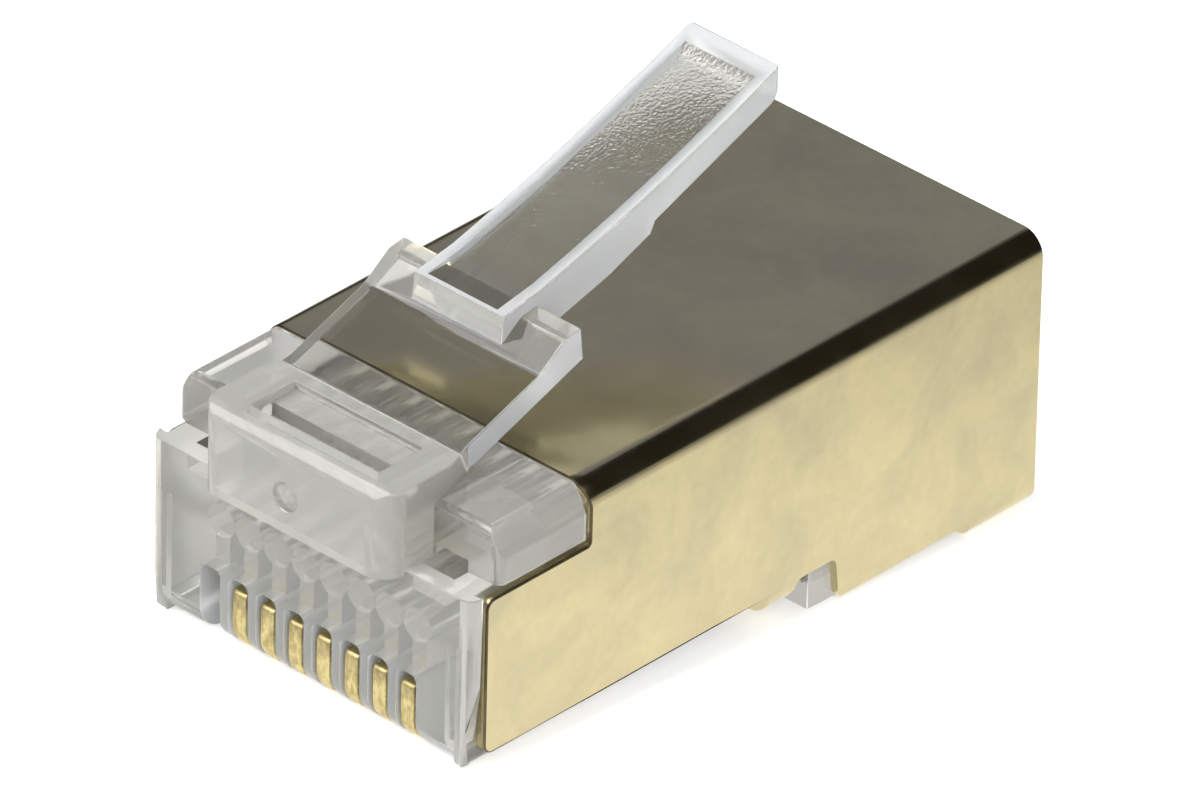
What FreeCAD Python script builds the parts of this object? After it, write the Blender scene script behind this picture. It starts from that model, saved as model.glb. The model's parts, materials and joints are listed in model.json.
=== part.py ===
import FreeCAD, Part
import math
import os

os.makedirs("parts", exist_ok=True)
V = FreeCAD.Vector

# Driving dimensions, millimetres and degrees.
# x runs across the plug, y from the nose face to the cable end,
# z upward from the underside of the front body.
SHELL_WIDTH = 11.68
SHELL_LENGTH = 21.97
SHEET = 0.25
TOP_BEND = 0.70
REAR_BEND = 0.50
BODY_HEIGHT = 6.82
REAR_DROP = 1.10
STEP_Y = 13.30
BODY_REAR_GAP = 0.35

SHOULDER_HEIGHT = 1.65
FLANGE_DEPTH = 0.45
FLANGE_ROUND = 0.42
FLANGE_TAPER = 0.36
FOOT_LIFT = 0.12
FOOT_ROUND = 0.30
GRIP_BORE = 0.22
GRIP_BITE = 0.05
GRIP_TOP = 3.90
GRIP_INSET = 0.78
NECK_LAP = 1.08
RIB_ROUND = 0.95
RIB_SPAN = 10.60
SHOULDER_Y = 1.08
SHOULDER_BEVEL_WIDTH = 0.43
SHOULDER_BEVEL_DROP = 0.82
SHOULDER_SIDE_ROUND = 0.25
SHOULDER_EDGE_ROUND = 0.20
SHOULDER_TOP_ROUND = 0.22

POSITIONS = 8
PITCH = 1.016
FIRST_LOADED = 2
BLADE = 0.48
SLOT_WIDTH = 0.67
SLOT_TOP = 2.27
SLOT_ROUND = 0.20
SLOT_LENGTH = 6.20
BLADE_SETBACK = 0.06
BLADE_LENGTH = 5.60
BLADE_TOP = 1.92
CROWN_Y = 1.10
CROWN_LENGTH = 4.40
CROWN_TOP = 2.45
PRONG_TOP = 3.02
PRONGS = 3
PRONG_FLANK = 0.32
CROWN_SLIT = 0.50
BLADE_HEEL_ROUND = 0.20
BLADE_TOP_ROUND = 0.10
BLADE_LIP_ROUND = 0.15

CHANNEL_Z = 3.57
CHANNEL_BORE = 0.98
CHANNEL_Y = 0.90
CHANNEL_END = 9.20
FUNNEL_END = 10.40
FUNNEL_MARGIN = 0.05
FUNNEL_LAP = 0.40
FUNNEL_ROUND = 0.20
CAVITY_WIDTH = 9.10
CAVITY_FLOOR = 0.75
ROOF_WALL = 0.77
CAVITY_ROUND = 0.60
ENTRY_Y = 14.00
REAR_FLOOR = 0.70

ROOT_WIDTH = 6.90
PLATE_WIDTH = 6.40
ROOT_PROUD = 0.73
ROOT_DROP = 0.23
ROOT_RISE = 0.80
ROOT_ROUND = 0.80
ROOT_EDGE = 0.50
ROOT_NECK_START = 1.30
ROOT_NECK_END = 0.45
ROOT_NECK_ROUND = 0.60
MARK_X = -0.20
MARK_DROP = 1.57
MARK_BORE = 0.84
MARK_DEPTH = 0.04
WELL_WIDTH = 4.60
WELL_FRONT = 0.15
WELL_STEP = 0.95
WELL_REAR = 1.80
WELL_DEPTH = 0.70
WELL_SHELF = 0.28
TUNNEL_WIDTH = 1.15
TUNNEL_INSET = 0.06
TUNNEL_FRONT = 0.60
TUNNEL_REAR = 3.40
TUNNEL_BELOW = 0.67
TUNNEL_ABOVE = 0.34

HINGE_Y = 2.95
HINGE_RISE = 0.20
HINGE_NOTCH = 0.42
PLATE_ANGLE = 19.5
PLATE_THICK = 0.79
RAMP_Y = 5.25
RAMP_END = 6.20
RAMP_RISE = 0.36
RAMP_BLEND = 0.60
RAMP_ROUND = 0.12
CATCH_ROUND = 0.08
PLATE_END = 6.95
CATCH_TOP_DROP = 0.12
CATCH_LEAN = 0.12
LEVER_WIDTH = 3.26
LEVER_Y = 5.37
LEVER_WALL = 0.93
LEVER_WALL_LEAN = 0.16
LEVER_TIP_Y = 16.12
LEVER_TIP_RISE = 5.31
LEVER_TIP_ROUND = 0.50
LEVER_CORNER = 0.28
LEVER_KNEE_RUN = 1.47
LEVER_KNEE_RISE = 0.24
LEVER_TOP_ANGLE = 22.5
LEVER_UNDER_ANGLE = 20.8
LEVER_HEEL_RUN = 2.65
LEVER_HEEL_RISE = 0.70
LEVER_STEP_Y = 11.15
LEVER_STEP = 0.17
LEVER_THICK = 1.13
LEVER_SAG = 0.16
DISH_WIDTH = 2.50
DISH_DEPTH = 0.24
DISH_FRONT_WALL = 0.15
DISH_TIP_WALL = 0.95
DISH_TIP_RAMP = 0.35

SIDE_FRONT = 0.60
SIDE_BOTTOM = 0.43
SIDE_LIP_GAP = 0.20
SIDE_STEP_Y = 4.50
SIDE_FOOT_ROUND = 0.35
SIDE_HEAD_ROUND = 0.30
SIDE_STEP_ROUND = 0.12
SIDE_RISE_ROUND = 0.20
TOP_FRONT = 4.35
FRONT_STRAP_Y = 11.50
FRONT_STRAP = 1.05
NOTCH_END = 14.10
NOTCH_TOP = 0.47
NOTCH_ROUND = 0.25
NOTCH_LEAN = 0.16
NOTCH_HEEL_ROUND = 0.15
STRAP_ROUND = 0.10
REAR_EDGE = 0.27
REAR_STRAP = 2.52
STRAP_GAP = 0.20

RELIEF_Y = 14.55
RELIEF_LENGTH = 4.30
RELIEF_WIDTH = 6.80
RELIEF_CLEAR = 0.25
RELIEF_RISE = 1.00
RELIEF_WEB = 0.32
RELIEF_LAP = 0.20
RELIEF_NOSE_RUN = 1.20
RELIEF_NOSE_RISE = 0.35
RELIEF_TAIL_DROP = 0.20
RELIEF_WEB_RUN = 0.90
RELIEF_TAIL_ROUND = 0.15
RELIEF_NOSE_ROUND = 0.20

# Derived sizes.
HALF = SHELL_WIDTH / 2
CORE_HALF = HALF - SHEET
CORE_BEND = TOP_BEND - SHEET
REAR_CORE_BEND = REAR_BEND - SHEET
BODY_END = SHELL_LENGTH - BODY_REAR_GAP
SHELL_TOP = BODY_HEIGHT + SHEET
NOSE_HEIGHT = SHELL_TOP - SHOULDER_HEIGHT
CAVITY_ROOF = BODY_HEIGHT - ROOF_WALL
ROOT_BOTTOM = NOSE_HEIGHT - ROOT_DROP
ROOT_TOP = SHELL_TOP + ROOT_RISE
TUNNEL_FLOOR = NOSE_HEIGHT - TUNNEL_BELOW
TUNNEL_ROOF = NOSE_HEIGHT + TUNNEL_ABOVE
HINGE_Z = SHELL_TOP + HINGE_RISE
LEVER_TIP_Z = HINGE_Z + LEVER_TIP_RISE
SIDE_TOP = NOSE_HEIGHT - SIDE_LIP_GAP
ROOT_HALF = ROOT_WIDTH / 2
PLATE_HALF = PLATE_WIDTH / 2
SLOPE = math.tan(math.radians(PLATE_ANGLE))
PLUG_SHIFT = V(0, -(SHELL_LENGTH - ROOT_PROUD) / 2, REAR_DROP + SHEET)


def slot_x(position):
    return (position - (POSITIONS + 1) / 2) * PITCH


def box(x0, x1, y0, y1, z0, z1):
    return Part.makeBox(x1 - x0, y1 - y0, z1 - z0, V(x0, y0, z0))


def rounded_edges(points, place):
    # points are (u, v, radius); radius 0 leaves the corner sharp
    count = len(points)
    corners = []
    for i in range(count):
        u, v, r = points[i]
        here = V(u, v, 0)
        before = V(points[i - 1][0], points[i - 1][1], 0)
        after = V(points[(i + 1) % count][0], points[(i + 1) % count][1], 0)
        if r == 0:
            corners.append((here, None, here))
            continue
        a = (before - here).normalize()
        b = (after - here).normalize()
        half = a.getAngle(b) / 2
        reach = r / math.tan(half)
        centre = here + (a + b).normalize() * (r / math.sin(half))
        middle = centre + (here - centre).normalize() * r
        corners.append((here + a * reach, middle, here + b * reach))
    edges = []
    for i in range(count):
        start, middle, end = corners[i]
        if middle is not None:
            edges.append(Part.Arc(place(start), place(middle), place(end)).toShape())
        following = corners[(i + 1) % count][0]
        if (following - end).Length > 1e-6:
            edges.append(Part.LineSegment(place(end), place(following)).toShape())
    return edges


def side_prism(points, x0, x1):
    # outline in the y-z plane, run across x
    edges = rounded_edges(points, lambda p: V(x0, p.x, p.y))
    return Part.Face(Part.Wire(edges)).extrude(V(x1 - x0, 0, 0))


def front_prism(points, y0, y1):
    # outline in the x-z plane, run along y
    edges = rounded_edges(points, lambda p: V(p.x, y0, p.y))
    return Part.Face(Part.Wire(edges)).extrude(V(0, y1 - y0, 0))


def plan_prism(points, z0, z1):
    # outline in the x-y plane, run up z
    edges = rounded_edges(points, lambda p: V(p.x, p.y, z0))
    return Part.Face(Part.Wire(edges)).extrude(V(0, 0, z1 - z0))


def block_section(half, bottom, top, lower, upper):
    return [(-half, bottom, lower), (half, bottom, lower), (half, top, upper), (-half, top, upper)]


def fuse(shapes):
    return shapes[0].multiFuse(shapes[1:]).removeSplitter()


def cut(shape, tools):
    return shape.cut(Part.makeCompound(tools)).removeSplitter()


def plate_under(y):
    return HINGE_Z + (y - HINGE_Y) * SLOPE


def plate_over(y):
    return plate_under(y) + PLATE_THICK / math.cos(math.radians(PLATE_ANGLE))


def seam_top():
    # the hinge seam stands square to the plate and ends on its upper face
    angle = math.radians(PLATE_ANGLE)
    return HINGE_Y - PLATE_THICK * math.sin(angle), HINGE_Z + PLATE_THICK * math.cos(angle)


def core_blank():
    front = front_prism(block_section(CORE_HALF, 0, BODY_HEIGHT, CORE_BEND, CORE_BEND), SHOULDER_Y, BODY_END)
    rear = front_prism(
        block_section(CORE_HALF, -REAR_DROP, BODY_HEIGHT, REAR_CORE_BEND, CORE_BEND), STEP_Y, BODY_END
    )
    neck = front_prism(block_section(CORE_HALF, 0, NOSE_HEIGHT, CORE_BEND, 0), 0, SHOULDER_Y + NECK_LAP)
    neck = neck.cut(box(-HALF, HALF, -1, FLANGE_DEPTH / 2, -1, NOSE_HEIGHT + 1))
    return fuse([front, rear, neck])


def shoulders():
    # full-width block ahead of the shield, flush with the sheet outside and bevelled above
    edge = HALF - SHOULDER_BEVEL_WIDTH
    bevel = SHELL_TOP - SHOULDER_BEVEL_DROP
    outline = [
        (-HALF, NOSE_HEIGHT, 0),
        (HALF, NOSE_HEIGHT, 0),
        (HALF, bevel, SHOULDER_SIDE_ROUND),
        (edge, SHELL_TOP, SHOULDER_EDGE_ROUND),
        (-edge, SHELL_TOP, SHOULDER_EDGE_ROUND),
        (-HALF, bevel, SHOULDER_SIDE_ROUND),
    ]
    block = front_prism(outline, SHOULDER_Y, TOP_FRONT)
    plan = [
        (-HALF, SHOULDER_Y, SHOULDER_SIDE_ROUND),
        (HALF, SHOULDER_Y, SHOULDER_SIDE_ROUND),
        (HALF, TOP_FRONT, 0),
        (-HALF, TOP_FRONT, 0),
    ]
    side = [
        (SHOULDER_Y, NOSE_HEIGHT, 0),
        (TOP_FRONT, NOSE_HEIGHT, 0),
        (TOP_FRONT, SHELL_TOP, 0),
        (SHOULDER_Y, SHELL_TOP, SHOULDER_TOP_ROUND),
    ]
    return block.common(plan_prism(plan, NOSE_HEIGHT, SHELL_TOP)).common(side_prism(side, -HALF, HALF))


def nose_flange():
    plan = [
        (-HALF, 0, FLANGE_ROUND),
        (HALF, 0, FLANGE_ROUND),
        (HALF, FLANGE_DEPTH, 0),
        (-HALF, FLANGE_DEPTH, 0),
    ]
    flange = plan_prism(plan, FOOT_LIFT, NOSE_HEIGHT)
    section = [
        (-HALF + FLANGE_TAPER, FOOT_LIFT, 0),
        (HALF - FLANGE_TAPER, FOOT_LIFT, 0),
        (HALF, NOSE_HEIGHT / 2, 0),
        (HALF, NOSE_HEIGHT, 0),
        (-HALF, NOSE_HEIGHT, 0),
        (-HALF, NOSE_HEIGHT / 2, 0),
    ]
    foot = [
        (0, FOOT_LIFT, FOOT_ROUND),
        (FLANGE_DEPTH * 2, FOOT_LIFT, 0),
        (FLANGE_DEPTH * 2, NOSE_HEIGHT, 0),
        (0, NOSE_HEIGHT, 0),
    ]
    flange = flange.common(front_prism(section, 0, FLANGE_DEPTH))
    return flange.common(side_prism(foot, -HALF, HALF))


def grip_grooves():
    # fine upright flutes that run down the two corner posts of the nose
    turn = FLANGE_ROUND * (1 - math.sqrt(0.5))
    proud = GRIP_BORE / 2 - GRIP_BITE
    skew = proud * math.sqrt(0.5)
    places = [
        (HALF - GRIP_INSET, -proud),
        (HALF - turn + skew, turn - skew),
        (HALF - FLANGE_ROUND, -proud),
    ]
    tools = []
    for side in (-1, 1):
        for x, y in places:
            start = V(side * x, y, 0)
            tools.append(Part.makeCylinder(GRIP_BORE / 2, GRIP_TOP, start, V(0, 0, 1)))
    return tools


def root_mark():
    # round ejector mark, just sunk in the front of the latch root
    start = V(MARK_X, -ROOT_PROUD - MARK_DEPTH, ROOT_TOP - MARK_DROP)
    return Part.makeCylinder(MARK_BORE / 2, 2 * MARK_DEPTH, start, V(0, 1, 0))


def rib_rounding():
    # everything between the two corner posts has the larger front radius
    corner = box(-RIB_SPAN / 2, RIB_SPAN / 2, -1, RIB_ROUND, -1, RIB_ROUND)
    roller = Part.makeCylinder(RIB_ROUND, RIB_SPAN, V(-RIB_SPAN / 2, RIB_ROUND, RIB_ROUND), V(1, 0, 0))
    return corner.cut(roller)


def latch_root():
    top_y, top_z = seam_top()
    bend_y = top_y - (top_z - ROOT_TOP) / SLOPE
    profile = [
        (-ROOT_PROUD, ROOT_BOTTOM, 0),
        (-ROOT_PROUD, ROOT_TOP, ROOT_EDGE),
        (bend_y, ROOT_TOP, 0),
        (top_y, top_z, 0),
        (HINGE_Y, HINGE_Z, 0),
        (HINGE_Y - HINGE_NOTCH, HINGE_Z - HINGE_RISE / 2, HINGE_RISE / 2),
        (HINGE_Y - HINGE_NOTCH + HINGE_RISE / 2, SHELL_TOP, 0),
        (HINGE_Y - HINGE_NOTCH + HINGE_RISE / 2, ROOT_BOTTOM, 0),
    ]
    plan = [
        (-ROOT_HALF, -ROOT_PROUD, ROOT_ROUND),
        (ROOT_HALF, -ROOT_PROUD, ROOT_ROUND),
        (ROOT_HALF, HINGE_Y - ROOT_NECK_START, ROOT_NECK_ROUND),
        (PLATE_HALF, HINGE_Y - ROOT_NECK_END, ROOT_NECK_ROUND),
        (PLATE_HALF, HINGE_Y + 1, 0),
        (-PLATE_HALF, HINGE_Y + 1, 0),
        (-PLATE_HALF, HINGE_Y - ROOT_NECK_END, ROOT_NECK_ROUND),
        (-ROOT_HALF, HINGE_Y - ROOT_NECK_START, ROOT_NECK_ROUND),
    ]
    root = side_prism(profile, -ROOT_HALF, ROOT_HALF)
    return root.common(plan_prism(plan, ROOT_BOTTOM - 1, ROOT_TOP + 2))


def root_well():
    half = WELL_WIDTH / 2
    front = box(-half, half, WELL_FRONT, WELL_STEP, ROOT_TOP - WELL_DEPTH, ROOT_TOP + 1)
    shelf = box(-half, half, WELL_STEP, WELL_REAR, ROOT_TOP - WELL_SHELF, ROOT_TOP + 1)
    return [front, shelf]


def front_tunnels():
    # cored pockets beside the latch root, open through the shoulder fronts
    tools = []
    for side in (-1, 1):
        inner = ROOT_HALF + TUNNEL_INSET
        low, high = sorted((side * inner, side * (inner + TUNNEL_WIDTH)))
        tools.append(box(low, high, TUNNEL_FRONT, TUNNEL_REAR, TUNNEL_FLOOR, TUNNEL_ROOF))
    return tools


def contact_slots():
    tools = []
    for position in range(1, POSITIONS + 1):
        x = slot_x(position)
        half = SLOT_WIDTH / 2
        outline = [
            (x - half, -1, 0),
            (x + half, -1, 0),
            (x + half, SLOT_TOP, SLOT_ROUND),
            (x - half, SLOT_TOP, SLOT_ROUND),
        ]
        tools.append(front_prism(outline, -1, SLOT_LENGTH))
        low = SLOT_TOP - CROWN_SLIT
        tools.append(box(x - BLADE / 2, x + BLADE / 2, CROWN_Y, CROWN_Y + CROWN_LENGTH, low, CHANNEL_Z))
    return tools


def wire_channels():
    tools = []
    for position in range(1, POSITIONS + 1):
        start = V(slot_x(position), CHANNEL_Y, CHANNEL_Z)
        length = CHANNEL_END + FUNNEL_LAP - CHANNEL_Y
        tools.append(Part.makeCylinder(CHANNEL_BORE / 2, length, start, V(0, 1, 0)))
    return tools


def ring_wire(half, z0, z1, y, r):
    return Part.Wire(rounded_edges(block_section(half, z0, z1, r, r), lambda p: V(p.x, y, p.y)))


def cable_cavity():
    reach = CHANNEL_BORE / 2 + FUNNEL_MARGIN
    narrow = slot_x(POSITIONS) + reach
    mouth = ring_wire(narrow, CHANNEL_Z - reach, CHANNEL_Z + reach, CHANNEL_END, FUNNEL_ROUND)
    wide = ring_wire(CAVITY_WIDTH / 2, CAVITY_FLOOR, CAVITY_ROOF, FUNNEL_END, CAVITY_ROUND)
    funnel = Part.makeLoft([mouth, wide], True, True)
    section = block_section(CAVITY_WIDTH / 2, CAVITY_FLOOR, CAVITY_ROOF, CAVITY_ROUND, CAVITY_ROUND)
    hall = front_prism(section, FUNNEL_END, SHELL_LENGTH + 1)
    lower = block_section(CAVITY_WIDTH / 2, REAR_FLOOR - REAR_DROP, CAVITY_ROOF, CAVITY_ROUND, CAVITY_ROUND)
    return [funnel, hall, front_prism(lower, ENTRY_Y, SHELL_LENGTH + 1)]


def relief_window():
    half = RELIEF_WIDTH / 2
    return box(-half, half, RELIEF_Y, RELIEF_Y + RELIEF_LENGTH, -REAR_DROP - 1, REAR_FLOOR - REAR_DROP + 0.5)


def relief_bar():
    # wedge that is pressed up onto the cable jacket, held by a thin web
    end = RELIEF_Y + RELIEF_LENGTH - RELIEF_CLEAR
    base = -REAR_DROP
    half = RELIEF_WIDTH / 2 - RELIEF_CLEAR
    profile = [
        (RELIEF_Y - RELIEF_LAP, base, 0),
        (end, base, 0),
        (end, base + RELIEF_RISE - RELIEF_TAIL_DROP, RELIEF_TAIL_ROUND),
        (end - RELIEF_NOSE_RUN, base + RELIEF_RISE + RELIEF_NOSE_RISE, RELIEF_NOSE_ROUND),
        (RELIEF_Y + RELIEF_WEB_RUN, base + RELIEF_WEB, 0),
        (RELIEF_Y - RELIEF_LAP, base + RELIEF_WEB, 0),
    ]
    return side_prism(profile, -half, half)


def make_housing():
    blank = fuse([core_blank(), shoulders(), nose_flange(), latch_root()])
    tools = [rib_rounding(), relief_window(), root_mark()]
    tools += root_well() + front_tunnels() + grip_grooves()
    tools += contact_slots() + wire_channels() + cable_cavity()
    blank = cut(blank, tools)
    return fuse([blank, relief_bar()])


def lever_line():
    # upper edge of the lever: a short flat behind its front wall, then a shallow upward curve
    angle = math.radians(LEVER_TOP_ANGLE)
    start = V(0, LEVER_Y + LEVER_WALL_LEAN, plate_over(LEVER_Y) + LEVER_WALL)
    knee = start + V(0, LEVER_KNEE_RUN, LEVER_KNEE_RISE)
    tip = V(0, LEVER_TIP_Y, LEVER_TIP_Z)
    end = tip + V(0, -math.sin(angle) * LEVER_TIP_ROUND / 2, LEVER_TIP_ROUND)
    sag = V(0, math.sin(angle), -math.cos(angle)) * LEVER_SAG
    return start, knee, (knee + end) * 0.5 + sag, end


def lever_blank():
    start, knee, middle, end = lever_line()
    slope = math.tan(math.radians(LEVER_UNDER_ANGLE))
    tip_under = V(0, LEVER_TIP_Y - LEVER_TIP_ROUND, end.z - LEVER_THICK)
    step_y = LEVER_STEP_Y + LEVER_STEP
    step_top = V(0, step_y, tip_under.z - (tip_under.y - step_y) * slope)
    step_low = V(0, LEVER_STEP_Y, step_top.z - 2 * LEVER_STEP)
    root = V(0, LEVER_Y, plate_under(LEVER_Y))
    heel = V(0, PLATE_END, plate_under(PLATE_END))
    belly = heel + V(0, LEVER_HEEL_RUN, LEVER_HEEL_RISE)
    edges = [
        Part.LineSegment(root, start).toShape(),
        Part.LineSegment(start, knee).toShape(),
        Part.Arc(knee, middle, end).toShape(),
        Part.Arc(end, V(0, LEVER_TIP_Y, LEVER_TIP_Z), tip_under).toShape(),
        Part.LineSegment(tip_under, step_top).toShape(),
        Part.LineSegment(step_top, step_low).toShape(),
        Part.LineSegment(step_low, belly).toShape(),
        Part.LineSegment(belly, heel).toShape(),
        Part.LineSegment(heel, root).toShape(),
    ]
    face = Part.Face(Part.Wire(edges))
    half = LEVER_WIDTH / 2
    face.translate(V(-half, 0, 0))
    blank = face.extrude(V(LEVER_WIDTH, 0, 0))
    plan = [
        (-half, 0, 0),
        (half, 0, 0),
        (half, LEVER_TIP_Y, LEVER_CORNER),
        (-half, LEVER_TIP_Y, LEVER_CORNER),
    ]
    return blank.common(plan_prism(plan, 0, LEVER_TIP_Z + LEVER_THICK))


def lever_dish():
    # shallow tray sunk in the lever's upper face, between two side rails
    start, knee, middle, end = lever_line()
    down = V(0, 0, -DISH_DEPTH)
    front = start + V(0, DISH_FRONT_WALL, 0)
    rim = end - V(0, DISH_TIP_WALL, DISH_TIP_WALL * math.tan(math.radians(LEVER_TOP_ANGLE)))
    lip = rim + V(0, DISH_TIP_RAMP, DISH_TIP_RAMP * math.tan(math.radians(LEVER_TOP_ANGLE)))
    above = V(0, 0, end.z + LEVER_THICK)
    edges = [
        Part.LineSegment(front, knee + down).toShape(),
        Part.Arc(knee + down, middle + down, rim + down).toShape(),
        Part.LineSegment(rim + down, lip).toShape(),
        Part.LineSegment(lip, V(0, lip.y, above.z)).toShape(),
        Part.LineSegment(V(0, lip.y, above.z), V(0, front.y, above.z)).toShape(),
        Part.LineSegment(V(0, front.y, above.z), front).toShape(),
    ]
    face = Part.Face(Part.Wire(edges))
    face.translate(V(-DISH_WIDTH / 2, 0, 0))
    return face.extrude(V(DISH_WIDTH, 0, 0))


def make_latch():
    top_y, top_z = seam_top()
    catch_z = plate_over(PLATE_END) + RAMP_RISE - CATCH_TOP_DROP
    profile = [
        (HINGE_Y, HINGE_Z, 0),
        (top_y, top_z, 0),
        (RAMP_Y, plate_over(RAMP_Y), RAMP_BLEND),
        (RAMP_END, plate_over(RAMP_END) + RAMP_RISE, RAMP_ROUND),
        (PLATE_END - CATCH_LEAN, catch_z - CATCH_LEAN * SLOPE, CATCH_ROUND),
        (PLATE_END, plate_under(PLATE_END), 0),
    ]
    plate = side_prism(profile, -PLATE_HALF, PLATE_HALF)
    lever = lever_blank().cut(lever_dish())
    return fuse([plate, lever])


def shield_tube(bottom, lower, y0, y1):
    outer = front_prism(block_section(HALF, bottom - SHEET, BODY_HEIGHT + SHEET, lower, TOP_BEND), y0, y1)
    inner = front_prism(
        block_section(CORE_HALF, bottom, BODY_HEIGHT, lower - SHEET, CORE_BEND), y0 - 1, y1 + 1
    )
    return outer.cut(inner)


def make_shield():
    front = shield_tube(0, TOP_BEND, SIDE_FRONT, STEP_Y)
    rear = shield_tube(-REAR_DROP, REAR_BEND, STEP_Y, SHELL_LENGTH)
    below = -REAR_DROP - SHEET - 0.5
    above = BODY_HEIGHT + SHEET + 0.5
    raw = REAR_EDGE - REAR_DROP
    strap_y = SHELL_LENGTH - REAR_STRAP
    envelope = [
        (SIDE_FRONT, SIDE_BOTTOM, SIDE_FOOT_ROUND),
        (SIDE_FRONT, SIDE_TOP, SIDE_HEAD_ROUND),
        (SIDE_STEP_Y, SIDE_TOP, SIDE_STEP_ROUND),
        (SIDE_STEP_Y, BODY_HEIGHT - CORE_BEND, SIDE_RISE_ROUND),
        (TOP_FRONT, BODY_HEIGHT + SHEET / 2, SIDE_RISE_ROUND),
        (TOP_FRONT, above, 0),
        (SHELL_LENGTH, above, 0),
        (SHELL_LENGTH, below, 0),
        (strap_y, below, 0),
        (strap_y, raw, STRAP_ROUND),
        (NOTCH_END + NOTCH_LEAN, raw, NOTCH_HEEL_ROUND),
        (NOTCH_END, NOTCH_TOP, NOTCH_ROUND),
        (FRONT_STRAP_Y + FRONT_STRAP, NOTCH_TOP, NOTCH_ROUND),
        (FRONT_STRAP_Y + FRONT_STRAP, below, 0),
        (FRONT_STRAP_Y, below, 0),
        (FRONT_STRAP_Y, SIDE_BOTTOM, STRAP_ROUND),
    ]
    shell = fuse([front, rear]).common(side_prism(envelope, -HALF - 1, HALF + 1))
    gap = box(-STRAP_GAP / 2, STRAP_GAP / 2, 0, SHELL_LENGTH + 1, below, BODY_HEIGHT / 2)
    return cut(shell, [gap])


def make_contact(position):
    front = BLADE_SETBACK
    rear = front + BLADE_LENGTH
    tooth = CROWN_LENGTH / PRONGS
    profile = [
        (front, 0, RIB_ROUND - BLADE_SETBACK),
        (rear, 0, BLADE_HEEL_ROUND),
        (rear, BLADE_TOP, BLADE_TOP_ROUND),
    ]
    crown_end = CROWN_Y + CROWN_LENGTH
    profile.append((crown_end, BLADE_TOP, 0))
    for k in reversed(range(PRONGS)):
        left = CROWN_Y + k * tooth
        profile.append((left + tooth, CROWN_TOP, 0))
        profile.append((left + tooth - PRONG_FLANK, PRONG_TOP, 0))
        profile.append((left + PRONG_FLANK, CROWN_TOP, 0))
    profile.append((CROWN_Y, CROWN_TOP, 0))
    profile.append((CROWN_Y, BLADE_TOP, 0))
    profile.append((front, BLADE_TOP, BLADE_LIP_ROUND))
    x = slot_x(position)
    return side_prism(profile, x - BLADE / 2, x + BLADE / 2)


def save(name, shape):
    shape.translate(PLUG_SHIFT)
    shape.exportStep("parts/" + name + ".step")
    print(name, "solids", len(shape.Solids), "valid", shape.isValid(), "volume", round(shape.Volume, 3))


save("housing", make_housing())
save("latch", make_latch())
save("shield", make_shield())
for position in range(FIRST_LOADED, POSITIONS + 1):
    save("contact_" + str(position), make_contact(position))
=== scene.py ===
import json
import math

import bmesh
import bpy
from mathutils import Matrix, Vector


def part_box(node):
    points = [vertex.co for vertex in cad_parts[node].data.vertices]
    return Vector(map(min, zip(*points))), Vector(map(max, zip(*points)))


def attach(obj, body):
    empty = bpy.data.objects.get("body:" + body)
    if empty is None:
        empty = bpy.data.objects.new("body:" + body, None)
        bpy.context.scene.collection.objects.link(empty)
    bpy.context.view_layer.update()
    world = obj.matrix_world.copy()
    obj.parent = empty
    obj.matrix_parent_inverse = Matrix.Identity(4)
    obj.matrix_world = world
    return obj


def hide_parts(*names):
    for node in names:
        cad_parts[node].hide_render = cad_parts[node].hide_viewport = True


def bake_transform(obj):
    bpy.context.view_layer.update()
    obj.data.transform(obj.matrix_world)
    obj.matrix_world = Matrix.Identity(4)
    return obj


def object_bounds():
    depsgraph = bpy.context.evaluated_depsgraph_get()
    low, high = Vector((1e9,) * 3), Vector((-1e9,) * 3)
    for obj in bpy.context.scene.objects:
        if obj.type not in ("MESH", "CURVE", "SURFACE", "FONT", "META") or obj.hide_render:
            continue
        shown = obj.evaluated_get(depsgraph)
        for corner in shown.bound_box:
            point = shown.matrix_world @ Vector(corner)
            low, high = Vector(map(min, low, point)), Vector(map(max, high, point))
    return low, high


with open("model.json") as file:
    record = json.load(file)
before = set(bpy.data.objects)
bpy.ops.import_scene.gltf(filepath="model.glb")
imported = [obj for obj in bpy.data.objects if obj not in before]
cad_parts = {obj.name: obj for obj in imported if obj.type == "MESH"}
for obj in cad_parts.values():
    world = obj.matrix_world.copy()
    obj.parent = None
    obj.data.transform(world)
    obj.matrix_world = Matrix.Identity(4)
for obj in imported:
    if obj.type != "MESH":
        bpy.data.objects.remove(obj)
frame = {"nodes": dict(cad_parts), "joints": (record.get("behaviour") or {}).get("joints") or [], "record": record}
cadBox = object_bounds()
nodes = frame["nodes"]
record = frame["record"]
mm = 0.001

# Places read from the frame: the latch hinge, the nose face and the underside of the front body.
hinge = Vector(frame["joints"][0]["pos_m"])
mounts = {m["name"]: Vector(m["pos_m"]) for m in record["mounts"]}
noseY = mounts["nose_face"].y
shieldLow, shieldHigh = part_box("shield")
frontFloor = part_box("contact_8")[0].z
print("frame read:", len(nodes), "nodes")


def addNode(tree, kind, settings=None, inputs=None):
    # adds one node; an input that is a socket is linked, any other is a value
    node = tree.nodes.new(kind)
    for name, value in (settings or {}).items():
        setattr(node, name, value)
    for key, value in (inputs or {}).items():
        if isinstance(value, bpy.types.NodeSocket):
            tree.links.new(value, node.inputs[key])
        else:
            node.inputs[key].default_value = value
    return node


def hexColour(code):
    # sRGB hex to the linear values that Blender works in
    channels = [int(code[i:i + 2], 16) / 255 for i in (1, 3, 5)]
    linear = [c / 12.92 if c <= 0.04045 else ((c + 0.055) / 1.055) ** 2.4 for c in channels]
    return (*linear, 1.0)


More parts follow.
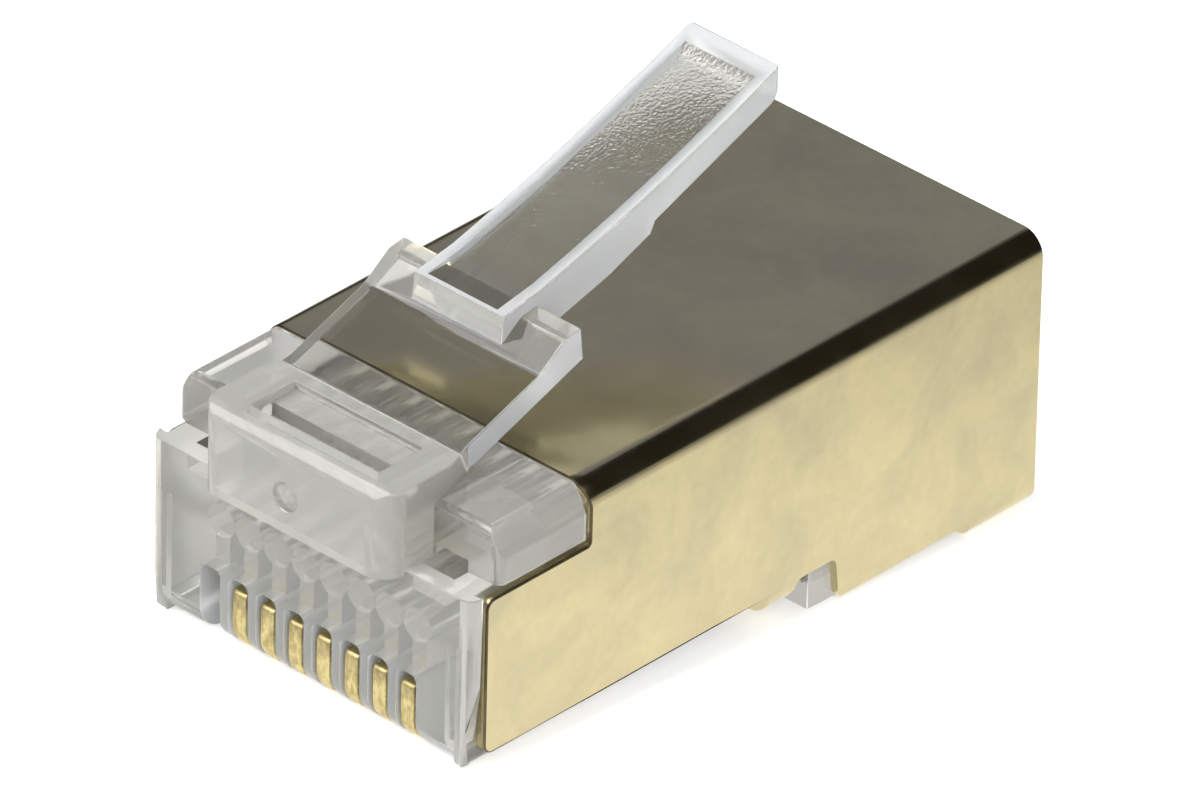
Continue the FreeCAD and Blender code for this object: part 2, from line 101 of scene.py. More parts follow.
def newMaterial(name):
    material = bpy.data.materials.new(name)
    material.use_nodes = True
    tree = material.node_tree
    tree.nodes.clear()
    output = addNode(tree, "ShaderNodeOutputMaterial")
    place = addNode(tree, "ShaderNodeTexCoord").outputs["Object"]
    return material, tree, output, place


def noise(tree, place, size, detail, roughness=0.5, distortion=0.0):
    # a noise whose features are about this many millimetres
    return addNode(tree, "ShaderNodeTexNoise", inputs={
        "Vector": place, "Scale": 1 / (size * mm), "Detail": detail, "Roughness": roughness,
        "Distortion": distortion,
    }).outputs["Fac"]


def mapRange(tree, value, span, low=0.0, high=1.0, ease="LINEAR"):
    return addNode(tree, "ShaderNodeMapRange", {"interpolation_type": ease}, {
        "Value": value, "From Min": span[0], "From Max": span[1], "To Min": low, "To Max": high,
    }).outputs["Result"]


def mixColours(tree, share, first, second):
    return addNode(tree, "ShaderNodeMixRGB", inputs={
        "Fac": share, "Color1": first, "Color2": second,
    }).outputs["Color"]


def mixShaders(tree, share, first, second):
    return addNode(tree, "ShaderNodeMixShader", inputs={0: share, 1: first, 2: second}).outputs["Shader"]


def bump(tree, height, depth, under=None):
    # depth in millimetres; the normal of another bump may lie under it
    inputs = {"Strength": 1.0, "Distance": depth * mm, "Height": height}
    if under is not None:
        inputs["Normal"] = under
    return addNode(tree, "ShaderNodeBump", inputs=inputs).outputs["Normal"]


def stretched(tree, place, scale):
    return addNode(tree, "ShaderNodeMapping", inputs={"Vector": place, "Scale": scale}).outputs["Vector"]


# Each noise is its size in millimetres, its detail, its roughness and, if it has any, its distortion. A span
# is the part of a noise's values that is used.
plastic = {
    "ior": 1.57,
    "tint": "#F7F6F0",
    "coolTint": "#F2F5F8",
    # painted shade: the grey tint of the plastic that the shield shades
    "paintedShadeTint": "#A8A49A",
    "flow": (2.6, 2.0, 0.45),
    "flowHeight": 0.010,
    "grainDetail": 2.0,
    "patches": (0.9, 4.0, 0.65),
    "patchSpan": (0.3, 0.7),
    "patchRough": (0.92, 1.12),
}


def clearPolycarbonate(name, passing, roughness, height, size, stretch=(1.0, 1.0, 1.0), tint="tint"):
    # Injection-moulded polycarbonate. A fine haze in it scatters a share of the light, so it looks milky;
    # the mould's polish sets how frosted each face is, and slow flow waves bend what shows through.
    # height and size are those of the surface grain, in millimetres
    material, tree, output, place = newMaterial(name)
    flow = noise(tree, place, *plastic["flow"])
    grain = noise(tree, stretched(tree, place, stretch), size, plastic["grainDetail"])
    patches = noise(tree, place, *plastic["patches"])
    smooth, dull = (roughness * share for share in plastic["patchRough"])
    shader = addNode(tree, "ShaderNodeBsdfPrincipled", inputs={
        "Base Color": hexColour(plastic[tint]), "IOR": plastic["ior"], "Transmission Weight": passing,
        "Roughness": mapRange(tree, patches, plastic["patchSpan"], smooth, dull),
        "Normal": bump(tree, grain, height, bump(tree, flow, plastic["flowHeight"])),
    })
    tree.links.new(shader.outputs["BSDF"], output.inputs["Surface"])
    return material


def hiddenJoint():
    # where one moulding is split only so that it can bend; light passes straight through
    material, tree, output, _ = newMaterial("mouldedThroughJoint")
    through = addNode(tree, "ShaderNodeBsdfTransparent")
    tree.links.new(through.outputs["BSDF"], output.inputs["Surface"])
    return material


sheet = {
    "colour": "#E7D9A8",
    "cloud": "#D9CCA4",
    "clouds": (3.0, 4.0, 0.55, 0.6),
    "cloudSpan": (0.35, 0.65),
    "fine": (0.35, 3.0, 0.6),
    "fineSpan": (0.3, 0.7),
    "fineDip": 0.95,
    "roughness": 0.20,
    "roughSpread": (0.9, 1.25),
    "wave": 0.0007,
    "rawEdge": 0.06,
    "rawFrom": 55,
    "rawRoughness": 0.35,
    # painted shade: the rubbed brown, and the bare tone darkened past brass, stand in for the shade and dark
    # reflection along the sheared edges
    "rubbed": "#4A4334",
    "bare": "#8A7D5F",
    "edgeShadePatches": (0.8, 3.0),
    "outerBend": 0.70,
    "bendSlack": 0.02,
    "flatSlack": 0.01,
    "strapStart": 11.3,
    "footTop": 0.42,
    # holding cuts: the third to the eleventh twelfth of the length, and distances from an end or a side
    "twelfths": (3, 11),
    "rearCut": 0.15,
    "frontCut": 4.8,
    "bendCut": 0.78,
}


def platedSheet():
    # Thin brass sheet, cold rolled and plated with pale gold over nickel: a soft mirror, clouded where the
    # plating is thin, with the faint waves that rolling and folding leave.
    material, tree, output, place = newMaterial("platedBrassSheet")
    clouds = noise(tree, place, *sheet["clouds"])
    fine = noise(tree, place, *sheet["fine"])
    amount = mapRange(tree, clouds, sheet["cloudSpan"])
    clouded = mixColours(tree, amount, hexColour(sheet["colour"]), hexColour(sheet["cloud"]))
    mottled = addNode(tree, "ShaderNodeVectorMath", {"operation": "SCALE"}, {
        "Vector": clouded, "Scale": mapRange(tree, fine, sheet["fineSpan"], sheet["fineDip"], 1.0),
    })
    smooth, dull = (sheet["roughness"] * share for share in sheet["roughSpread"])
    shader = addNode(tree, "ShaderNodeBsdfPrincipled", inputs={
        "Base Color": mottled.outputs["Vector"], "Metallic": 1.0,
        "Roughness": mapRange(tree, clouds, sheet["cloudSpan"], smooth, dull),
        "Normal": bump(tree, clouds, sheet["wave"]),
    })
    tree.links.new(shader.outputs["BSDF"], output.inputs["Surface"])
    return material


def cutEdge():
    # the sheared edge of the same sheet: bare brass and dull, with painted shade: a dark brown mixed in patches
    # for the shade and dark reflection along the edge
    material, tree, output, place = newMaterial("shearedEdgePaintedShade")
    edgeShadePatches = noise(tree, place, *sheet["edgeShadePatches"])
    shader = addNode(tree, "ShaderNodeBsdfPrincipled", inputs={
        "Base Color": mixColours(tree, edgeShadePatches, hexColour(sheet["rubbed"]), hexColour(sheet["bare"])),
        "Metallic": 1.0, "Roughness": sheet["rawRoughness"],
    })
    tree.links.new(shader.outputs["BSDF"], output.inputs["Surface"])
    return material


blade = {
    "colour": "#E8D89E",
    "worn": "#BCA976",
    "upperBrown": "#A8986E",
    "roughness": 0.5,
    "grain": (0.18, 3.0, 0.65),
    "grainStretch": (1.0, 1.0, 0.5),
    "grainHeight": 0.009,
    "grainShift": 1.2,
    "wornSpan": (0.40, 0.66),
    "browningRange": (1.75, 2.75),
    "edge": 0.05,
    "softFrom": 55,
    "crown": 1.9,
}


def goldBlade():
    # Phosphor bronze blades, stamped, then gold flashed on the touching edge: grainy along the cut, and browner
    # toward the top.
    material, tree, output, place = newMaterial("goldFlashedBronze")
    grain = noise(tree, stretched(tree, place, blade["grainStretch"]), *blade["grain"])
    spots = mapRange(tree, grain, blade["wornSpan"])
    gold = mixColours(tree, spots, hexColour(blade["colour"]), hexColour(blade["worn"]))
    height = addNode(tree, "ShaderNodeSeparateXYZ", inputs={0: place})
    uneven = addNode(tree, "ShaderNodeMath", {"operation": "MULTIPLY_ADD"}, {
        0: grain, 1: blade["grainShift"] * mm, 2: height.outputs["Z"],
    })
    browningRange = [frontFloor + level * mm for level in blade["browningRange"]]
    towardTop = mapRange(tree, uneven.outputs["Value"], browningRange)
    shader = addNode(tree, "ShaderNodeBsdfPrincipled", inputs={
        "Base Color": mixColours(tree, towardTop, gold, hexColour(blade["upperBrown"])), "Metallic": 1.0,
        "Roughness": blade["roughness"], "Normal": bump(tree, grain, blade["grainHeight"]),
    })
    tree.links.new(shader.outputs["BSDF"], output.inputs["Surface"])
    return material


finishes = {
    # name: share of light let through, roughness, grain height and size, stretch, tint
    "polishedPolycarbonate": (0.995, 0.05, 0.0006, 0.30),
    "hazyPolycarbonate": (0.83, 0.09, 0.0012, 0.25),
    "frostedPolycarbonate": (0.73, 0.17, 0.0030, 0.16, (1.0, 1.0, 0.2)),
    "whitenedPolycarbonate": (0.55, 0.36, 0.0020, 0.25, (1.0, 1.0, 1.0), "coolTint"),
    "pebbledPolycarbonate": (0.99, 0.10, 0.0230, 0.10),
    "scratchedPolycarbonate": (0.60, 0.20, 0.0060, 0.14, (1.0, 0.25, 1.0), "coolTint"),
    "rubbedPolycarbonate": (0.63, 0.20, 0.0050, 0.18, (1.0, 0.25, 1.0)),
    # painted shade: a darker grey tint for the plastic in the shield's side notches and under its sides, where the
    # sheet shades it
    "paintedShadePolycarbonate": (0.70, 0.15, 0.0020, 0.25, (1.0, 1.0, 1.0), "paintedShadeTint"),
    "coredPolycarbonate": (0.80, 0.12, 0.0020, 0.25),
}
skins = [clearPolycarbonate(name, *finish) for name, finish in finishes.items()] + [hiddenJoint()]
clear, hazy, frost, white, pebble, brushed, rubbed, paintedShade, cored, joint = range(len(skins))
sheetMat = platedSheet()
bladeMat = goldBlade()
print("materials made")


# Tolerances of the mesh work, in millimetres.
slack = {"weld": 0.0015, "cut": 0.0005, "seam": 0.002, "seamWeld": 0.003, "neck": 1e-5}


def weldedCopy(*names):
    # the named CAD nodes' triangles as one bmesh with shared corners
    bm = bmesh.new()
    for name in names:
        bm.from_mesh(nodes[name].data)
    bmesh.ops.remove_doubles(bm, verts=bm.verts, dist=slack["weld"] * mm)
    return bm


def mergeFlat(bm, angle=0.6):
    # puts flat faces back together from their triangles
    bmesh.ops.dissolve_limit(
        bm, angle_limit=math.radians(angle), use_dissolve_boundaries=False, verts=bm.verts, edges=bm.edges,
    )
    bm.normal_update()


def sharpEdges(bm, least):
    return [e for e in bm.edges if len(e.link_faces) == 2 and e.calc_face_angle(0) > math.radians(least)]


def softenEdges(bm, edges, width, segments=2):
    made = bmesh.ops.bevel(
        bm, geom=edges, offset=width * mm, offset_type="OFFSET", affect="EDGES", segments=segments,
        profile=0.5, material=-1, clamp_overlap=False,
    )
    bm.normal_update()
    return made["faces"]


def shrink(bm, depth):
    # moves every face inwards by this many millimetres, so that touching pieces don't share a surface;
    # a sharp corner moves further, at most twice as far
    bm.normal_update()
    moves = [(v, v.normal * min(v.calc_shell_factor(), 2.0) * depth * mm) for v in bm.verts]
    for v, move in moves:
        v.co -= move


def plugPoint(point):
    # millimetres from the nose face and the underside of the front body
    return point.x / mm, (point.y - noseY) / mm, (point.z - frontFloor) / mm


def keepInside(bm):
    # a rounded corner may reach some microns past the CAD box; this brings it back
    low, high = cadBox
    for v in bm.verts:
        v.co = [min(max(c, a), b) for c, a, b in zip(v.co, low, high)]


def newPiece(name, bm, materials, smoothAngle=32):
    keepInside(bm)
    mesh = bpy.data.meshes.new(name)
    bm.to_mesh(mesh)
    bm.free()
    for material in materials:
        mesh.materials.append(material)
    mesh.shade_smooth()
    mesh.set_sharp_from_angle(angle=math.radians(smoothAngle))
    piece = bpy.data.objects.new(name, mesh)
    bpy.context.scene.collection.objects.link(piece)
    weighted = piece.modifiers.new("weightedNormals", "WEIGHTED_NORMAL")
    weighted.keep_sharp = True
    weighted.mode = "FACE_AREA"
    return piece


# Open ends of a range, in millimetres.
far = 99
whole = (-far, far)

moulding = {
    "edge": 0.045,
    "ribEdge": 0.025,
    "softFrom": 28,
    "inset": 0.012,
    "latchAngle": 19.5,
    "seamLow": -0.01,
    "seamHigh": 0.8,
    "bendReach": 1.5,
    "bendCuts": 5,
    "leverAbove": 3,
    "plateRise": 0.84,
    "leverLap": 0.4,
    "leverReach": 1.7,
    "dishHalf": 1.3,
    "pebbleStart": 8.0,
    "tipStart": 15.1,
    "catchStart": 5.9,
    "rootFront": -0.3,
    "rootSide": 3.2,
    "rootTopEnd": 2.0,
    # ranges from the middle, from the nose face and from the underside of the front body
    "zones": {
        "core": ((-far, 4.75), (0.55, 21.5), (0.3, 6.3)),
        "crown": ((-far, 3.5), (-far, 2.6), (5.5, far)),
        "cavity": ((-far, 4.75), (5.0, 21.5), (-far, 6.3)),
        "frontUnderside": (whole, (-far, 13.2), (-far, 0.05)),
        "rearUnderside": (whole, whole, (-far, -1.05)),
        "flutes": ((4.7, far), (-far, 0.47), (-far, 4.0)),
        "ribs": ((-far, 4.0), whole, (-far, 2.6)),
        "dishRim": ((-far, 1.3), (5.3, 15.7), (8.0, far)),
        "dish": ((-far, 1.3), (5.5, 15.6), whole),
        "lever": ((-far, 1.66), (5.2, far), whole),
        "plate": ((-far, 3.25), (2.6, far), (7.2, far)),
        "neck": ((-far, 3.4), (1.5, far), (7.12, far)),
        "root": ((-far, 3.5), (-far, 2.7), (5.1, far)),
        "shoulder": ((3.4, far), (0.9, far), (5.45, far)),
        "post": ((4.7, far), (-far, 0.5), whole),
        # the plastic that shows in the shield's side notches, and the body's sides under the shield; both get
        # painted shade
        "step": (whole, (12.5, 14.5), (-far, 0.8)),
        "wall": ((5.3, far), (5.0, far), whole),
        # the ribs between the contacts
        "comb": ((-far, 4.1), (-far, 6.3), (-far, 2.4)),
    },
}

# Unit vector along the latch plate at the hinge, which is the normal of the seam there.
seamAngle = math.radians(moulding["latchAngle"])
seamWay = Vector((0, math.cos(seamAngle), math.sin(seamAngle)))


def within(place, name):
    # whether a place in millimetres lies in a zone of the moulding; both sides of the plug are alike
    x, y, z = place
    return all(low < c < high for c, (low, high) in zip((abs(x), y, z), moulding["zones"][name]))


def dropSeam(bm):
    # takes out the faces where housing and latch meet, so that the two weld into one moulding
    seam = []
    for face in bm.faces:
        offset = face.calc_center_median() - hinge
        if abs(offset.dot(seamWay)) < slack["seam"] * mm and abs(face.normal.dot(seamWay)) > 0.999:
            if moulding["seamLow"] * mm < offset.z < moulding["seamHigh"] * mm:
                seam.append(face)
    bmesh.ops.delete(bm, geom=seam, context="FACES")
    bmesh.ops.remove_doubles(bm, verts=bm.verts, dist=slack["seamWeld"] * mm)
    print("seam faces dropped:", len(seam))


def inCore(place):
    # inside the body: wire channels, slots behind the nose, cable cavity and side tunnels
    if within(place, "core") and not within(place, "crown"):
        return True
    below = within(place, "frontUnderside") or within(place, "rearUnderside")
    return within(place, "cavity") and not below


def pickEdges(bm):
    # outward edges that a mould leaves a little round; the fine flutes at the nose stay as they are
    outer, ribs = [], []
    for edge in sharpEdges(bm, moulding["softFrom"]):
        a, b = (v.co for v in edge.verts)
        if not edge.is_convex or inCore(plugPoint(a)) or inCore(plugPoint(b)):
            continue
        middle = plugPoint((a + b) / 2)
        if within(middle, "flutes") or within(middle, "dishRim"):
            continue
        if within(middle, "ribs"):
            ribs.append(edge)
        else:
            outer.append(edge)
    return outer, ribs


def onLever(place):
    # above the top face of the latch plate, where the lever stands on it
    _, y, z = place
    hingePlace = plugPoint(hinge)
    plateTop = hingePlace[2] + (y - hingePlace[1]) * math.tan(seamAngle) + moulding["plateRise"]
    return within(place, "lever") and z > plateTop - moulding["leverLap"]


def skinFor(face):
    # the finish of a face, from where it lies and which way its unit normal n looks
    place = plugPoint(face.calc_center_median())
    x, y, z = place
    n = face.normal
    looksUp, looksAhead = n.z > 0.5, n.y < -0.5
    reach = max(abs(v.co.x) for v in face.verts) / mm
    if onLever(place):
        if looksUp and within((reach, y, z), "dish"):
            return pebble if y > moulding["pebbleStart"] else clear
        if y > moulding["tipStart"]:
            return white
        if abs(n.x) > 0.7:
            return brushed
        if looksUp and moulding["dishHalf"] < reach < moulding["leverReach"]:
            return white
        return frost if looksAhead and reach < moulding["leverReach"] else clear
    if within(place, "plate"):
        if abs(n.x) > 0.6:
            return white
        return hazy if n.y > 0.8 or y > moulding["catchStart"] else clear
    if within(place, "root"):
        front = looksAhead and y < moulding["rootFront"]
        flank = abs(n.x) > 0.6 and abs(x) > moulding["rootSide"]
        top = looksUp and y < moulding["rootTopEnd"]
        return frost if front or flank or top else hazy
    if within(place, "shoulder"):
        return frost if abs(n.x) > 0.3 else hazy
    if within(place, "post"):
        return rubbed
    # painted shade: the plastic in the side notches and under the shield's sides gets the darker grey tint
    if looksAhead and within(place, "step") or abs(n.x) > 0.9 and within(place, "wall"):
        return paintedShade
    if within(place, "comb") and n.y > -0.9:
        return white if abs(n.x) > 0.5 else frost
    return cored if inCore(place) else hazy


def buildMoulding():
    bm = weldedCopy("housing", "latch")
    dropSeam(bm)
    mergeFlat(bm)
    outer, ribs = pickEdges(bm)
    print("edges to soften:", len(outer), len(ribs))
    softenEdges(bm, ribs, moulding["ribEdge"], 1)
    for face in bm.faces:
        face.material_index = skinFor(face)
    # the ribs' rounding may have renewed some of the outer edges, so they are picked again
    outer = pickEdges(bm)[0]
    for face in softenEdges(bm, outer, moulding["edge"]):
        face.material_index = frost
    openEdges = [e for e in bm.edges if len(e.link_faces) != 2]
    print("moulding: verts", len(bm.verts), "faces", len(bm.faces), "open edges", len(openEdges))
    shrink(bm, moulding["inset"])
    return bm


def neckFaces(bm, distance):
    # faces of the latch plate that a plane square to it cuts, this many millimetres past the hinge
    found = []
    for face in bm.faces:
        if not within(plugPoint(face.calc_center_median()), "neck"):
            continue
        sides = [(v.co - hinge).dot(seamWay) / mm - distance for v in face.verts]
        if min(sides) < slack["neck"] and max(sides) > -slack["neck"]:
            found.append(face)
    return found


def cutNeck(bm, distance):
    # dictionaries keep their order, so that each run cuts alike
    faces = neckFaces(bm, distance)
    edges = dict.fromkeys(e for f in faces for e in f.edges)
    verts = dict.fromkeys(v for f in faces for v in f.verts)
    made = bmesh.ops.bisect_plane(
        bm, geom=list(verts) + list(edges) + faces, dist=slack["cut"] * mm,
        plane_co=hinge + seamWay * distance * mm, plane_no=seamWay,
    )
    return [g for g in made["geom_cut"] if isinstance(g, bmesh.types.BMEdge)]


def splitAtHinge(bm):
    # parts the moulding at the hinge; both halves are closed with a face that light passes through
    loop = set(cutNeck(bm, 0.0))
    # the rearmost face high above the hinge is on the lever, and the rest of the latch joins on to it
    leverZ = hinge.z + moulding["leverAbove"] * mm
    high = [f for f in bm.faces if f.calc_center_median().z > leverZ]
    start = max(high, key=lambda f: f.calc_center_median().y)
    latch, border = {start}, [start]
    while border:
        face = border.pop()
        for e in face.edges:
            if e in loop:
                continue
            for other in e.link_faces:
                if other not in latch:
                    latch.add(other)
                    border.append(other)
    print("neck loop:", len(loop), "latch faces:", len(latch), "of", len(bm.faces))
    bm.faces.ensure_lookup_table()
    kept = {f.index for f in latch}
    latchMesh = bm.copy()
    latchMesh.faces.ensure_lookup_table()
    bmesh.ops.delete(latchMesh, geom=[f for f in latchMesh.faces if f.index not in kept], context="FACES")
    bmesh.ops.delete(bm, geom=[f for f in bm.faces if f.index in kept], context="FACES")
    for half, way in ((bm, seamWay), (latchMesh, -seamWay)):
        rim = [e for e in half.edges if len(e.link_faces) == 1]
        cap = bmesh.ops.holes_fill(half, edges=rim, sides=0)["faces"]
        for face in cap:
            face.normal_update()
            if face.normal.dot(way) < 0:
                face.normal_flip()
            face.material_index = joint
        print("cap faces:", len(cap), "open edges:", sum(len(e.link_faces) != 2 for e in half.edges))
    return bm, latchMesh


bm, latchMesh = splitAtHinge(buildMoulding())
for k in range(1, moulding["bendCuts"] + 1):
    cutNeck(latchMesh, moulding["bendReach"] * k / moulding["bendCuts"])
housingPiece = newPiece("clearHousing", bm, skins)
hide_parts("housing")
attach(housingPiece, "body")
latchPiece = newPiece("clearLatch", latchMesh, skins)
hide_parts("latch")
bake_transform(latchPiece)
print("moulding ready")


def crossCut(bm, place, way):
    bmesh.ops.bisect_plane(
        bm, geom=list(bm.verts) + list(bm.edges) + list(bm.faces), dist=slack["cut"] * mm, plane_co=place,
        plane_no=way,
    )


def onOutside(point):
    # on the outer skin of the folded sheet, ahead of its straps and above their feet
    x, y, z = plugPoint(point)
    half, _, top = plugPoint(shieldHigh)
    bend, flat = sheet["outerBend"], sheet["flatSlack"]
    if y > sheet["strapStart"] or z < sheet["footTop"]:
        return False
    if abs(x) > half - bend and z > top - bend:
        return math.hypot(abs(x) - half + bend, z - top + bend) > bend - sheet["bendSlack"]
    return abs(x) > half - flat or z > top - flat


def buildShield():
    # holding cuts keep the flats flat beside each bend and each raw edge
    bm = weldedCopy("shield")
    mergeFlat(bm)
    across, along, upward = Vector((1, 0, 0)), Vector((0, 1, 0)), Vector((0, 0, 1))
    length = shieldHigh.y - shieldLow.y
    first, last = sheet["twelfths"]
    lengthCuts = [shieldLow.y + length * k / 12 for k in range(first, last + 1)]
    lengthCuts += [shieldHigh.y - sheet["rearCut"] * mm, noseY + sheet["frontCut"] * mm]
    for y in lengthCuts:
        crossCut(bm, Vector((0, y, 0)), along)
    for side in (-1, 1):
        crossCut(bm, Vector((side * (shieldHigh.x - sheet["bendCut"] * mm), 0, 0)), across)
    crossCut(bm, Vector((0, 0, shieldHigh.z - sheet["bendCut"] * mm)), upward)
    bm.normal_update()
    sharp = sharpEdges(bm, sheet["rawFrom"])
    raw = [e for e in sharp if e.is_convex and all(onOutside(v.co) for v in e.verts)]
    # the rounded raw edges take the sheared edge finish with its painted shade
    for face in softenEdges(bm, raw, sheet["rawEdge"]):
        face.material_index = 1
    print("shield: verts", len(bm.verts), "faces", len(bm.faces))
    return bm


shieldPiece = newPiece("foldedShield", buildShield(), [sheetMat, cutEdge()])
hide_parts("shield")
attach(shieldPiece, "body")

for name in sorted(nodes):
    if name.startswith("contact_"):
        bm = weldedCopy(name)
        mergeFlat(bm)
        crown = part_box(name)[0].z + blade["crown"] * mm
        sharp = sharpEdges(bm, blade["softFrom"])
        softenEdges(bm, [e for e in sharp if max(v.co.z for v in e.verts) < crown], blade["edge"])
        piece = newPiece(name.replace("contact_", "blade_"), bm, [bladeMat])
        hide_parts(name)
        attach(piece, "body")
print("pieces made")


table = {
    "size": 6.0,
    "colour": "#F4F4F2",
    "mottle": "#F7F7F6",
    "mottles": (250, 2.0),
    "glow": 0.42,
    # what mirrors see of it, a painted pool of light: brightness near and far, and where it falls off and ends, in
    # millimetres
    "paintedPoolShare": 0.80,
    "paintedPoolBright": (1.15, 0.44),
    "paintedPoolRange": (4, 24),
    "paintedPoolFade": (20, 60),
    "paintedPoolFadeLeft": 0.02,
    "oval": (1.0, 0.5, 0.0),
    "restY": 8.83,
    "restSlope": 0.0730,
}


def glowing(tree, strength):
    glow = addNode(tree, "ShaderNodeEmission", inputs={"Color": (1, 1, 1, 1), "Strength": strength})
    return glow.outputs["Emission"]


def whiteFloor():
    # Matt white table. It glows a little to the camera and through clear plastic and keeps shadows; mirrors
    # see a painted pool of light on it, brightest close to the plug.
    material, tree, output, place = newMaterial("mattWhiteTable")
    mottle = noise(tree, place, *table["mottles"])
    matt = addNode(tree, "ShaderNodeBsdfDiffuse", inputs={
        "Color": mixColours(tree, mottle, hexColour(table["colour"]), hexColour(table["mottle"])),
    }).outputs["BSDF"]
    both = addNode(tree, "ShaderNodeAddShader", inputs={0: matt, 1: glowing(tree, table["glow"])})
    away = addNode(tree, "ShaderNodeVectorMath", {"operation": "LENGTH"}, {
        0: stretched(tree, place, table["oval"]),
    }).outputs["Value"]
    paintedPoolSpan, paintedPoolFadeSpan = ([end * mm for end in table[name]] for name in ("paintedPoolRange", "paintedPoolFade"))
    strength = addNode(tree, "ShaderNodeMath", {"operation": "MULTIPLY"}, {
        0: mapRange(tree, away, paintedPoolSpan, *table["paintedPoolBright"], "SMOOTHSTEP"),
        1: mapRange(tree, away, paintedPoolFadeSpan, 1.0, table["paintedPoolFadeLeft"], "SMOOTHSTEP"),
    })
    # painted reflection: mirrors see mostly the painted pool of light and only a fifth of the lit table
    paintedMirrorPool = mixShaders(tree, table["paintedPoolShare"], matt, glowing(tree, strength.outputs["Value"]))
    path = addNode(tree, "ShaderNodeLightPath")
    seen = addNode(tree, "ShaderNodeMath", {"operation": "MAXIMUM"}, {
        0: path.outputs["Is Camera Ray"], 1: path.outputs["Is Transmission Ray"],
    })
    direct = mixShaders(tree, seen.outputs["Value"], matt, both.outputs["Shader"])
    shown = mixShaders(tree, path.outputs["Is Glossy Ray"], direct, paintedMirrorPool)
    tree.links.new(shown, output.inputs["Surface"])
    return material


def buildFloor():
    bm = bmesh.new()
    # the plug stands on the foot of its nose and on the shield's rear straps, so the table slopes under it
    bmesh.ops.create_grid(bm, x_segments=1, y_segments=1, size=table["size"] / 2)
    turn = Matrix.Rotation(-math.atan(table["restSlope"]), 4, "X")
    bmesh.ops.transform(bm, matrix=Matrix.Translation((0, table["restY"] * mm, 0)) @ turn, verts=bm.verts)
    mesh = bpy.data.meshes.new("floor")
    bm.to_mesh(mesh)
    bm.free()
    mesh.materials.append(whiteFloor())
    floor = bpy.data.objects.new("floor", mesh)
    bpy.context.scene.collection.objects.link(floor)


buildFloor()

softBoxes = [
    # name, direction from the object, distance, size, watts
    ("keyBox", (-0.55, -0.60, 0.85), 0.9, 0.80, 7.2),
    ("fillBox", (0.95, -0.35, 0.75), 0.9, 0.70, 3.6),
    ("topBox", (-0.15, -0.45, 1.0), 1.0, 0.80, 4.2),
]


def addSoftBox(name, direction, distance, size, watts):
    light = bpy.data.lights.new(name, "AREA")
    light.shape = "SQUARE"
    light.size = size
    light.energy = watts
    lamp = bpy.data.objects.new(name, light)
    away = Vector(direction).normalized()
    lamp.location = away * distance
    lamp.rotation_euler = away.to_track_quat("Z", "Y").to_euler()
    bpy.context.scene.collection.objects.link(lamp)
    return lamp


for boxLine in softBoxes:
    lamp = addSoftBox(*boxLine)
    # a screen between key light and plug keeps its glare out of the clear parts
    lamp.visible_transmission = lamp.name != "keyBox"


surroundings = {
    "paper": 1.0,
    "ambient": 0.50,
    "room": (0.012, 0.011, 0.010, 1),
    "patch": (0.232, 0.247, 0.33, 1),
    "patchWay": (-0.571, 0.623, 0.534),
    "patchRim": (0.90, 0.985),
    # what shows through the clear plastic, ahead of the plug and behind it
    "skyAhead": (0.98, 0.98, 0.95, 1),
    "skyBehind": (0.20, 0.20, 0.21, 1),
    "skyRim": (0.10, 0.75),
    "mirroredDim": 0.35,
}


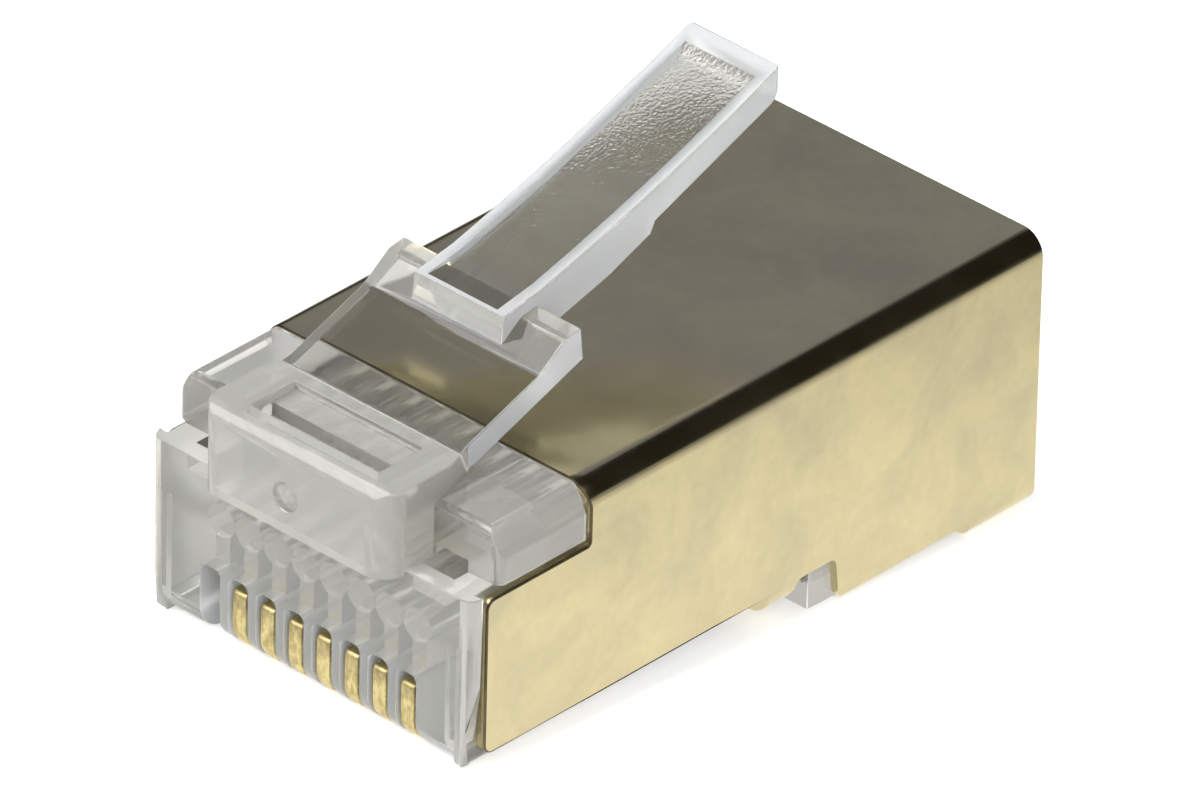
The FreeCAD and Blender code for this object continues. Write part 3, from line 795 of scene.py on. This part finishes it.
def buildWorld():
    # a dim room above the table, with one paler patch behind the plug for the shield's top to mirror
    world = bpy.data.worlds.new("dimRoom")
    bpy.context.scene.world = world
    world.use_nodes = True
    tree = world.node_tree
    tree.nodes.clear()

    def backdrop(colour, strength=1.0):
        node = addNode(tree, "ShaderNodeBackground", inputs={"Color": colour, "Strength": strength})
        return node.outputs["Background"]

    output = addNode(tree, "ShaderNodeOutputWorld")
    direction = addNode(tree, "ShaderNodeTexCoord").outputs["Generated"]
    toPatch = addNode(tree, "ShaderNodeVectorMath", {"operation": "DOT_PRODUCT"}, {
        0: direction, 1: Vector(surroundings["patchWay"]).normalized(),
    }).outputs["Value"]
    patch = mapRange(tree, toPatch, surroundings["patchRim"], ease="SMOOTHSTEP")
    behind = mapRange(tree, toPatch, surroundings["skyRim"], ease="SMOOTHSTEP")
    sky = mixColours(tree, behind, surroundings["skyAhead"], surroundings["skyBehind"])
    room = mixColours(tree, patch, surroundings["room"], surroundings["patch"])
    path = addNode(tree, "ShaderNodeLightPath").outputs
    # what a mirror shows through the plastic is a little dimmer, as part of it is the dim room
    mirroredOnce = mapRange(tree, path["Glossy Depth"], (0.0, 1.0), 0.0, surroundings["mirroredDim"])
    through = backdrop(mixColours(tree, mirroredOnce, sky, room))
    ambient = backdrop((1, 1, 1, 1), surroundings["ambient"])
    paper = backdrop((1, 1, 1, 1), surroundings["paper"])
    light = mixShaders(tree, path["Is Diffuse Ray"], backdrop(room), ambient)
    light = mixShaders(tree, path["Is Transmission Ray"], light, through)
    light = mixShaders(tree, path["Is Camera Ray"], light, paper)
    tree.links.new(light, output.inputs["Surface"])


buildWorld()

view = {
    "azimuth": 42.5,
    "elevation": 32.3,
    "roll": 1.44,
    "lens": 600,
    "sensor": 36,
    "distance": 0.528,
    "aim": (0, -0.62, 4.62),
    "slide": (0.766, 1.144),
}


def placeCamera():
    az, el, roll = (math.radians(view[k]) for k in ("azimuth", "elevation", "roll"))
    back = Vector((math.sin(az) * math.cos(el), -math.cos(az) * math.cos(el), math.sin(el)))
    right = Vector((math.cos(az), math.sin(az), 0))
    up = back.cross(right)
    tiltedRight = right * math.cos(roll) + up * math.sin(roll)
    tiltedUp = up * math.cos(roll) - right * math.sin(roll)
    aim = (Vector(view["aim"]) + tiltedRight * view["slide"][0] + tiltedUp * view["slide"][1]) * mm
    camera = bpy.data.cameras.new("camera")
    camera.lens = view["lens"]
    camera.sensor_width = view["sensor"]
    body = bpy.data.objects.new("camera", camera)
    turn = Matrix((tiltedRight, tiltedUp, back)).transposed().to_4x4()
    body.matrix_world = Matrix.Translation(aim + back * view["distance"]) @ turn
    bpy.context.scene.collection.objects.link(body)
    bpy.context.scene.camera = body


placeCamera()
bpy.context.scene.view_settings.view_transform = "Standard"
print("studio ready")
